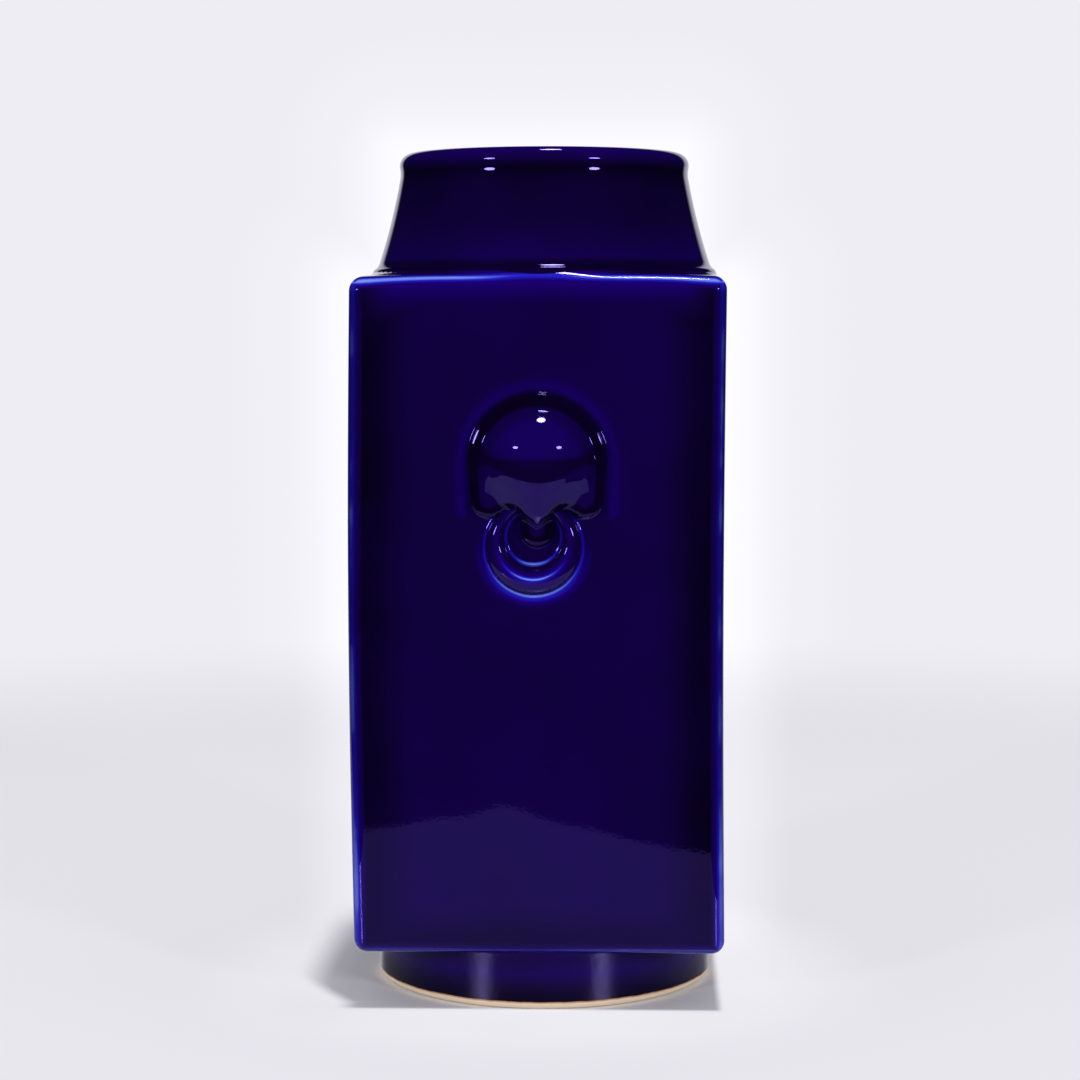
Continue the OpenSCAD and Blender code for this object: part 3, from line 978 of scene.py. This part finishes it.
@built_once
def edge_group():
    """Where the glaze draws thin over the body's edges and pools beside them, and a painted shade that
    darkens the glaze beside the upright edges and the lower edge.
    """
    tree, given, result = new_group(
        "Body Edges", [("Position", "NodeSocketVector")],
        [("Thinness", "NodeSocketFloat"), ("Shade", "NodeSocketFloat")],
    )
    body = bpy.context.scene.cong_vase_body
    place, run = given.outputs["Position"], 16
    axes = axes_of(tree, place)
    bend = math_node(tree, "SINE", stretch(tree, axes["Z"], BASE_Z, SHOULDER_Z, 0.0, math.pi))
    bow = stretch(tree, axes["X"], -HALF, HALF, body.left_bow, body.right_bow)
    swell = stretch(tree, axes["X"], -HALF, HALF, -body.left_swell, body.right_swell)
    push = minus(tree, swell, times(tree, bow, bend))
    unbent = unsigned(tree, minus(tree, axes["X"], push))
    from_side = minus(tree, HALF, unbent)
    from_face = minus(tree, HALF, unsigned(tree, axes["Y"]))
    from_foot = minus(tree, axes["Z"], BASE_Z - body.foot_drop)
    radius = distance_node(tree, axes["X"], axes["Y"])
    left = stretch(tree, radius, body.skirt_reach - SKIRT, body.skirt_reach, 1.0, 0.0)
    fall = stretch(tree, radius, HALF, HALF + CORNER_RUN)
    skirt = times(tree, math_node(tree, "POWER", left, 2.0), body.skirt_height)
    sunk = plus(tree, math_node(tree, "POWER", fall, 2.0), EDGE_SUNK)
    sunk = times(tree, sunk, body.shoulder_drop)
    level = plus(tree, minus(tree, skirt, sunk), SHOULDER_Z)
    from_head = minus(tree, level, axes["Z"])
    near_wall = smaller(tree, from_side, from_face)
    upright = larger(tree, from_side, from_face)
    top = larger(tree, near_wall, from_head)
    bottom = larger(tree, near_wall, from_foot)

    def drawn(distance, stops):
        """Thinness by the distance from an edge, with stops in millimetres."""
        return ramp_node(tree, over(tree, distance, run * MM), [(at / run, thin) for at, thin in stops])

    uneven = stretch(tree, noise_node(tree, place, 32, detail=3), 0.35, 0.7, 0.86, 1.04)
    to_right = stretch(tree, axes["X"], -HALF, HALF, 1.0, 1.05)
    sides = drawn(upright, [(1.0, 0.88), (1.8, 0.84), (2.6, 0.64), (3.4, 0.34), (5.0, 0.0)])
    sides = times(tree, sides, uneven, to_right)
    # Painted shade: beside the upright edges, more so higher up, and beside the lower edge, the glaze is
    # darkened towards the pooled blue.
    side_shade = times(
        tree, drawn(upright, [(1.6, 1.0), (2.8, 0.8), (4.6, 0.0)]),
        stretch(tree, from_head, 1 * MM, 6 * MM), stretch(tree, axes["Z"], 0.03, 0.1, 0.25, 0.7),
    )
    foot_shade = drawn(bottom, [(1.6, 0.45), (2.6, 0.35), (4.0, 0.0)])
    tree.links.new(larger(tree, side_shade, foot_shade), result.inputs["Shade"])
    line = drawn(top, [(1.2, 1.0), (1.7, 0.9), (2.1, 0.76), (2.6, 0.6), (3.4, 0.3), (4.4, 0.0)])
    apart = smaller(tree, unsigned(tree, axes["X"]), unsigned(tree, axes["Y"]))
    line = times(tree, line, stretch(tree, apart, 8 * MM, 30 * MM, 0.84, 1.0))
    below = drawn(top, [(3.4, 0.5), (5.2, 0.36), (8.5, 0.22), (15.0, 0.05)])
    below = times(tree, below, stretch(tree, upright, 2 * MM, 16 * MM, 0.1, 1.0))
    foot = drawn(bottom, [(1.2, 0.86), (1.7, 0.68), (2.2, 0.45), (3.0, 0.18), (4.5, 0.0)])
    open_face = stretch(tree, upright, 5 * MM, 24 * MM, 0.0, 0.16)
    open_face = times(tree, open_face, stretch(tree, from_foot, 4 * MM, 18 * MM, 0.2, 1.0))
    total = larger(tree, sides, line, below, foot, open_face)
    tree.links.new(total, result.inputs["Thinness"])
    return tree


def new_material(name):
    """A material with a Principled shader; gives its tree, the shader and Object coordinates."""
    made = bpy.data.materials.new(name)
    made.use_nodes = True
    tree = made.node_tree
    shader = tree.nodes["Principled BSDF"]
    place = add_node(tree, "ShaderNodeTexCoord").outputs["Object"]
    return made, tree, shader, place


def lay_surface(tree, shader, height, lie):
    """Lead a height into a shader as the unevenness of its surface."""
    bump = add_node(tree, "ShaderNodeBump", {"Height": height, "Strength": 1.0, "Distance": lie})
    tree.links.new(bump.outputs["Normal"], shader.inputs["Normal"])


def inside_foot(tree, axes):
    """One within the foot ring's resting rim, nought outside it."""
    across = distance_node(tree, axes["X"], axes["Y"])
    return stretch(tree, across, FOOT_R - 7.4 * MM, FOOT_R - 7.0 * MM, 1.0, 0.0)


def finish_cobalt(tree, shader, place, thinness, lie=0.00022):
    """Lead the blue glaze's colour, gloss and surface into a shader."""
    glaze = use_group(tree, cobalt_group(), {"Thinness": thinness, "Position": place}).outputs
    tree.links.new(glaze["Color"], shader.inputs["Base Color"])
    tree.links.new(glaze["Roughness"], shader.inputs["Roughness"])
    lay_surface(tree, shader, glaze["Height"], lie)
    shader.inputs["Specular IOR Level"].default_value = 0.64
    shader.inputs["Specular Tint"].default_value = (0.27, 0.19, 1.0, 1)
    return glaze


@built_once
def blue_glaze():
    """Blue glaze of the slabs, thin over the edges and round the reliefs, darkened by painted shade beside
    the upright and lower edges; clear glaze under the base.
    """
    glaze = bpy.context.scene.cong_vase_glaze
    made, tree, shader, place = new_material("blue_glaze")
    edges = use_group(tree, edge_group(), {"Position": place}).outputs
    halo = relief_halo(tree, place)
    cobalt = finish_cobalt(tree, shader, place, larger(tree, edges["Thinness"], halo))
    # Painted shade: the edges' shade mixes the blue towards the pooled blue.
    shaded = mix_node(tree, edges["Shade"], cobalt["Color"], (*glaze.pooled_and_shaded, 1))
    axes = axes_of(tree, place)
    low = stretch(tree, axes["Z"], BASE_Z + 1 * MM, BASE_Z + 2 * MM, 1.0, 0.0)
    under = times(tree, inside_foot(tree, axes), low)
    tree.links.new(mix_node(tree, under, shaded, (*glaze.clear, 1)), shader.inputs["Base Color"])
    return made


def relief_halo(tree, place):
    """Thinner glaze on the wall round the mask and the ring, out to the faint line of the luting slip."""
    relief = bpy.context.scene.cong_vase_relief
    axes = axes_of(tree, place)
    facing = times(tree, math_node(tree, "SIGN", axes["Y"]), -1.0)
    across = times(tree, axes["X"], facing)
    on_face = stretch(tree, unsigned(tree, axes["Y"]), HALF - 1.0 * MM, HALF - 0.4 * MM)

    def faded(distance, stops):
        """Thinness by the distance from a relief, with stops in shares of the halo's width."""
        halo = 8 * MM
        return ramp_node(tree, over(tree, distance, halo), stops)

    up = minus(tree, axes["Z"], ARCH_Z)
    from_mask = minus(tree, distance_node(tree, across, larger(tree, up, 0.0)), MASK_HALF)
    stops = [(0.0, 0.1), (0.12, 0.28), (0.28, 0.36), (0.5, 0.26)]
    stops += [(0.74, 0.15), (0.82, 0.22), (0.9, 0.12), (1.0, 0.0)]
    over_jaw = stretch(tree, up, -relief.jaw_drop - 4 * MM, 2 * MM - relief.jaw_drop)
    mask = times(tree, faded(from_mask, stops), over_jaw)

    aside = plus(tree, across, relief.ring_shift)
    above = minus(tree, axes["Z"], RING_LOW.z + relief.ring_radius)
    from_ring = minus(tree, distance_node(tree, aside, above), relief.ring_radius)
    stops = [(0.0, 0.8), (0.18, 0.74), (0.34, 0.52), (0.5, 0.26)]
    stops += [(0.66, 0.16), (0.74, 0.2), (0.84, 0.12), (1.0, 0.0)]
    lower = stretch(tree, above, 8 * MM, -16 * MM, 0.3, 1.0)
    hole = stretch(tree, from_ring, -3 * MM, 0.0, 0.35, 1.0)
    ring = times(tree, faded(from_ring, stops), lower, hole)
    return times(tree, larger(tree, mask, ring), on_face)


@built_once
def neck_glaze():
    """Blue glaze of the neck, thinner over the lip and at the toe, with painted shade just under the lip and
    in the sweep above the shoulder.
    """
    made, tree, shader, place = new_material("neck_glaze")
    axes = axes_of(tree, place)
    rise = minus(tree, axes["Z"], SHOULDER_Z)
    share = over(tree, rise, TOP_Z - SHOULDER_Z)
    # Painted shade: the ramp darkens the glaze in the sweep just above the shoulder, and most just under the
    # lip.
    stops = [(0.0, 0.1), (0.05, 0.04), (0.09, 0.08), (0.13, 0.24), (0.22, 0.19)]
    stops += [(0.4, 0.11), (0.72, 0.06), (0.84, 0.0), (0.93, 0.22), (1.0, 0.34)]
    by_height = ramp_node(tree, share, stops)
    at_wall = larger(tree, unsigned(tree, axes["X"]), unsigned(tree, axes["Y"]))
    toe = stretch(tree, at_wall, HALF - 2.6 * MM, HALF - 1.6 * MM)
    toe = times(tree, toe, stretch(tree, rise, 0.3 * MM, -1.1 * MM, 0.0, 0.88))
    finish_cobalt(tree, shader, place, larger(tree, by_height, toe))
    return made


@built_once
def relief_glaze():
    """Blue glaze of the masks and rings, by the thinness kept on their vertices."""
    made, tree, shader, place = new_material("relief_glaze")
    thin = add_node(tree, "ShaderNodeAttribute", attribute_name="thin").outputs["Fac"]
    finish_cobalt(tree, shader, place, thin, lie=0.0001)
    return made


@built_once
def foot_glaze():
    """Blue glaze of the foot ring down to its bare rim, and clear glaze inside it."""
    glaze = bpy.context.scene.cong_vase_glaze
    made, tree, shader, place = new_material("foot_glaze")
    axes = axes_of(tree, place)
    ragged = stretch(tree, noise_node(tree, place, 220, detail=3), 0.3, 0.7, -0.08 * MM, 0.08 * MM)
    level = plus(tree, axes["Z"], ragged)
    share = over(tree, axes["Z"], BASE_Z)
    thin = ramp_node(tree, share, [(0.14, 0.0), (0.34, 0.06), (0.6, 0.26), (0.85, 0.16), (1.0, 0.22)])
    cobalt = use_group(tree, cobalt_group(), {"Thinness": thin, "Position": place}).outputs
    glazed = mix_node(tree, inside_foot(tree, axes), cobalt["Color"], (*glaze.clear, 1))
    clay, burnt = tuple(glaze.biscuit), tuple(glaze.burnt)
    rim_run, glaze_end = 6 * MM, (2.7 * MM, 2.95 * MM)
    stops = [(0.0, clay), (0.36, clay), (0.42, burnt), (0.5, burnt)]
    rim = ramp_node(tree, over(tree, level, rim_run), stops)
    bare = stretch(tree, level, *glaze_end, 1.0, 0.0)
    tree.links.new(mix_node(tree, bare, glazed, rim), shader.inputs["Base Color"])
    tree.links.new(stretch(tree, level, *glaze_end, 0.75, 0.2), shader.inputs["Roughness"])
    lay_surface(tree, shader, noise_node(tree, place, 420, detail=2), 0.00004)
    shader.inputs["Specular IOR Level"].default_value = 0.2
    shader.inputs["Specular Tint"].default_value = (0.5, 0.4, 1.0, 1)
    return made


@built_once
def clear_glaze():
    """Clear glaze over white porcelain, slightly uneven in tone and surface."""
    glaze = bpy.context.scene.cong_vase_glaze
    made, tree, shader, place = new_material("clear_glaze")
    cloud = noise_node(tree, place, 40, detail=4)
    cool = tuple(c * f for c, f in zip(glaze.clear, (0.93, 0.96, 1.0)))
    tone = ramp_node(tree, cloud, [(0.3, cool), (0.7, tuple(glaze.clear))])
    tree.links.new(tone, shader.inputs["Base Color"])
    tree.links.new(stretch(tree, cloud, 0.3, 0.7, 0.1, 0.2), shader.inputs["Roughness"])
    lay_surface(tree, shader, cloud, 0.0003)
    return made


# Stage


class CONGVASE_OT_stage(bpy.types.Operator):
    """Set up the pale floor, the background, three lamps and the camera"""

    bl_idname = "cong_vase.stage"
    bl_label = "Studio"

    def execute(self, context):
        stage = context.scene.cong_vase_stage
        self.floor(stage)
        self.world(context.scene, stage)
        for name, azimuth, elevation, power in (
            ("lamp_left", -41, 12, stage.side_power),
            ("lamp_right", 41, 12, stage.side_power),
            ("lamp_top", 70, 87.2, stage.top_power),
        ):
            self.lamp(name, azimuth, elevation, power, stage)
        self.camera(context.scene, stage)
        context.scene.view_settings.view_transform = "Standard"
        return {"FINISHED"}

    def floor(self, stage):
        """A pale sheet that fades out towards its edges."""
        sheet = start("floor", bpy.ops.mesh.primitive_plane_add, size=4, location=(0, 0, -0.05 * MM))
        edit(sheet)
        bpy.ops.mesh.subdivide(number_cuts=7)
        leave_edit()
        made, tree, shader, place = new_material("studio_floor")
        shader.inputs["Base Color"].default_value = (*stage.floor, 1)
        shader.inputs["Roughness"].default_value = 0.8
        shader.inputs["Specular IOR Level"].default_value = 0.1
        axes = axes_of(tree, place)
        reach = distance_node(tree, axes["X"], axes["Y"])
        ray = add_node(tree, "ShaderNodeLightPath").outputs
        # Painted light: for the camera the sheet partly glows in the floor's glow colour, by the share
        # below.
        pale = add_node(tree, "ShaderNodeEmission", {"Color": (*stage.floor_glow, 1)}).outputs[0]
        share = self.painted_glow(tree, axes, reach)
        glow = math_node(tree, "MULTIPLY", ray["Is Camera Ray"], share, clamp=True)
        sheen = add_node(
            tree, "ShaderNodeBsdfPrincipled", {"Base Color": (*stage.floor, 1), "Roughness": 0.28}
        )
        streak = add_node(tree, "ShaderNodeBsdfGlossy", {"Color": (0.55, 0.55, 0.6, 1), "Roughness": 0.26})
        sheen = add_node(tree, "ShaderNodeAddShader", {0: sheen.outputs[0], 1: streak.outputs[0]})
        matt = mix_shader(tree, ray["Is Glossy Ray"], shader.outputs[0], sheen.outputs[0])
        lit = mix_shader(tree, glow, matt, pale)
        clear = add_node(tree, "ShaderNodeBsdfTransparent").outputs[0]
        fade = mix_shader(tree, self.faded_out(tree, axes, reach, ray), lit, clear)
        tree.links.new(fade, tree.nodes["Material Output"].inputs["Surface"])
        sheet.data.materials.append(made)

    def faded_out(self, tree, axes, reach, ray):
        """Where the sheet is gone: far out and, for reflections, before a corner on the camera's side."""
        tip_x, tip_y, spread, soft = -0.034, -0.434, 1.12, 0.002
        from_tip = unsigned(tree, minus(tree, axes["X"], tip_x))
        front = minus(tree, axes["Y"], times(tree, from_tip, spread))
        near = stretch(tree, front, tip_y - soft, tip_y + soft, 1.0, 0.0)
        mirrored = larger(tree, stretch(tree, reach, 1.3, 1.8), near)
        seen = stretch(tree, reach, 0.5, 1.0)
        mixed = add_node(tree, "ShaderNodeMix", {0: ray["Is Glossy Ray"], 2: seen, 3: mirrored})
        return mixed.outputs[0]

    def painted_glow(self, tree, axes, reach):
        """How much the camera sees the sheet glow pale, a painted light: more beside and behind the vase,
        and less in its square shadow, a painted shadow round the foot and to its left.
        """
        x, y = axes["X"], axes["Y"]
        camera_x, camera_y, vase_aside, vase_half = 0.032, -0.921, 0.035, 0.072
        lean = times(tree, larger(tree, plus(tree, y, 0.05), 0.0), 0.6)
        depth = times(tree, stretch(tree, y, -0.059, -0.055), stretch(tree, y, 0.05, 0.12, 1.0, 0.0))
        shadow = times(
            tree, stretch(tree, x, -0.09, -0.072), stretch(tree, x, 0.059, 0.063, 1.0, 0.0),
            stretch(tree, plus(tree, x, lean), -0.07, -0.06), depth,
        )
        near_vase = times(tree, stretch(tree, reach, 0.06, 0.14, 1.0, 0.0), 0.36)
        beside = minus(tree, near_vase, times(tree, shadow, 0.88))
        toward = over(tree, minus(tree, x, camera_x), minus(tree, y, camera_y))
        aside = unsigned(tree, plus(tree, toward, vase_aside))
        behind = times(tree, stretch(tree, aside, vase_half, 0.1, 0.3, 0.0), stretch(tree, y, 0.0, 0.1))
        return plus(tree, beside, behind, 0.5)

    def world(self, scene, stage):
        """Pale where the camera looks, with a painted glow round the vase's outline; reflections see the
        pale backdrop behind and a dark studio.
        """
        world = bpy.data.worlds.new("studio")
        world.use_nodes = True
        tree = world.node_tree
        tree.nodes.clear()
        ray = add_node(tree, "ShaderNodeLightPath").outputs
        toward = add_node(tree, "ShaderNodeTexCoord").outputs["Generated"]
        axes = axes_of(tree, toward)
        backdrop = stretch(tree, axes["Y"], 0.84, 0.91, 0.004, 1.0)
        vase_aside, halo, body, neck = 0.036, 0.05, (0.0715, 0.008), (0.052, 0.058)
        aside = unsigned(tree, plus(tree, over(tree, axes["X"], axes["Y"]), vase_aside))
        level = over(tree, axes["Z"], axes["Y"])

        def past(half_width, top):
            """How far a direction looks past a box round the body or the neck."""
            across = larger(tree, minus(tree, aside, half_width), 0.0)
            above = larger(tree, minus(tree, level, top), 0.0)
            return distance_node(tree, across, above)

        nearest = smaller(tree, past(*body), past(*neck))
        # Painted light: the camera sees the background glow brighter close round the body and the neck.
        stops = [(0.0, 1.16), (0.16, 1.13), (0.32, 1.075), (0.5, 1.035), (1.0, 1.0)]
        ahead = stretch(tree, axes["Y"], 0.1, 0.4, 1.0, 0.0)
        glow = ramp_node(tree, plus(tree, over(tree, nearest, halo), ahead), stops)
        shown = larger(tree, backdrop, times(tree, glow, ray["Is Camera Ray"]))
        fill, seen = (
            add_node(tree, "ShaderNodeBackground", {"Color": (*stage.backdrop, 1), "Strength": strength})
            for strength in (stage.fill, shown)
        )
        direct = larger(tree, ray["Is Glossy Ray"], ray["Is Transmission Ray"], ray["Is Camera Ray"])
        both = mix_shader(tree, direct, fill.outputs[0], seen.outputs[0])
        result = add_node(tree, "ShaderNodeOutputWorld")
        tree.links.new(both, result.inputs["Surface"])
        scene.world = world

    def lamp(self, name, azimuth, elevation, power, stage):
        """A round lamp that looks at the middle of the vase."""
        target = Vector((0, 0, 0.6 * TOP_Z))
        turn, rise = math.radians(azimuth), math.radians(elevation)
        away = Vector((math.sin(turn) * math.cos(rise), -math.cos(turn) * math.cos(rise), math.sin(rise)))
        bpy.ops.object.light_add(type="AREA", location=target + away * stage.lamp_distance)
        lamp = bpy.context.active_object
        lamp.name = name
        lamp.rotation_euler = away.to_track_quat("Z", "Y").to_euler()
        lamp.data.shape = "DISK"
        lamp.data.size = stage.lamp_size
        lamp.data.energy = power
        lamp.visible_camera = False

    def camera(self, scene, stage):
        """The photograph's view, a little from the right and from above."""
        stand, look, dip, roll = (math.radians(angle) for angle in (1.998, 2.087, 4.988, -0.112))
        bpy.ops.object.camera_add()
        camera = bpy.context.active_object
        camera.name = "camera"
        camera.data.lens = stage.lens
        camera.data.sensor_width = 36
        camera.data.clip_start = 0.01
        away = stage.camera_distance
        camera.location = (away * math.sin(stand), -away * math.cos(stand), stage.camera_height)
        turn, tilt = Matrix.Rotation(look, 3, "Z"), Matrix.Rotation(math.pi / 2 - dip, 3, "X")
        camera.rotation_euler = (turn @ tilt @ Matrix.Rotation(roll, 3, "Z")).to_euler()
        scene.camera = camera


class CONGVASE_PT_panel(bpy.types.Panel):
    """Builds the vase piece by piece and lists its sizes and colours"""

    bl_label = "Cong Vase"
    bl_idname = "CONGVASE_PT_panel"
    bl_space_type = "VIEW_3D"
    bl_region_type = "UI"
    bl_category = "Cong Vase"

    def draw(self, context):
        for operator in OPERATORS:
            self.layout.operator(operator.bl_idname)
        for name, kind in GROUPS.items():
            box = self.layout.box()
            box.label(text=kind.__doc__)
            for prop in kind.__annotations__:
                box.prop(getattr(context.scene, name), prop)


GROUPS = {
    "cong_vase_body": CongVaseBody,
    "cong_vase_neck": CongVaseNeck,
    "cong_vase_relief": CongVaseRelief,
    "cong_vase_glaze": CongVaseGlaze,
    "cong_vase_stage": CongVaseStage,
}
OPERATORS = (
    CONGVASE_OT_slabs,
    CONGVASE_OT_neck,
    CONGVASE_OT_foot,
    CONGVASE_OT_masks,
    CONGVASE_OT_rings,
    CONGVASE_OT_coils,
    CONGVASE_OT_stage,
)


def register():
    for kind in (*GROUPS.values(), *OPERATORS, CONGVASE_PT_panel):
        bpy.utils.register_class(kind)
    for name, kind in GROUPS.items():
        setattr(bpy.types.Scene, name, bpy.props.PointerProperty(type=kind))


def unregister():
    for name in GROUPS:
        delattr(bpy.types.Scene, name)
    for kind in (CONGVASE_PT_panel, *reversed(OPERATORS), *GROUPS.values()):
        bpy.utils.unregister_class(kind)


def main():
    register()
    bpy.ops.cong_vase.slabs()
    bpy.ops.cong_vase.neck()
    bpy.ops.cong_vase.foot()
    bpy.ops.cong_vase.masks()
    bpy.ops.cong_vase.rings()
    bpy.ops.cong_vase.coils()
    bpy.ops.cong_vase.stage()


if __name__ == "__main__":
    main()
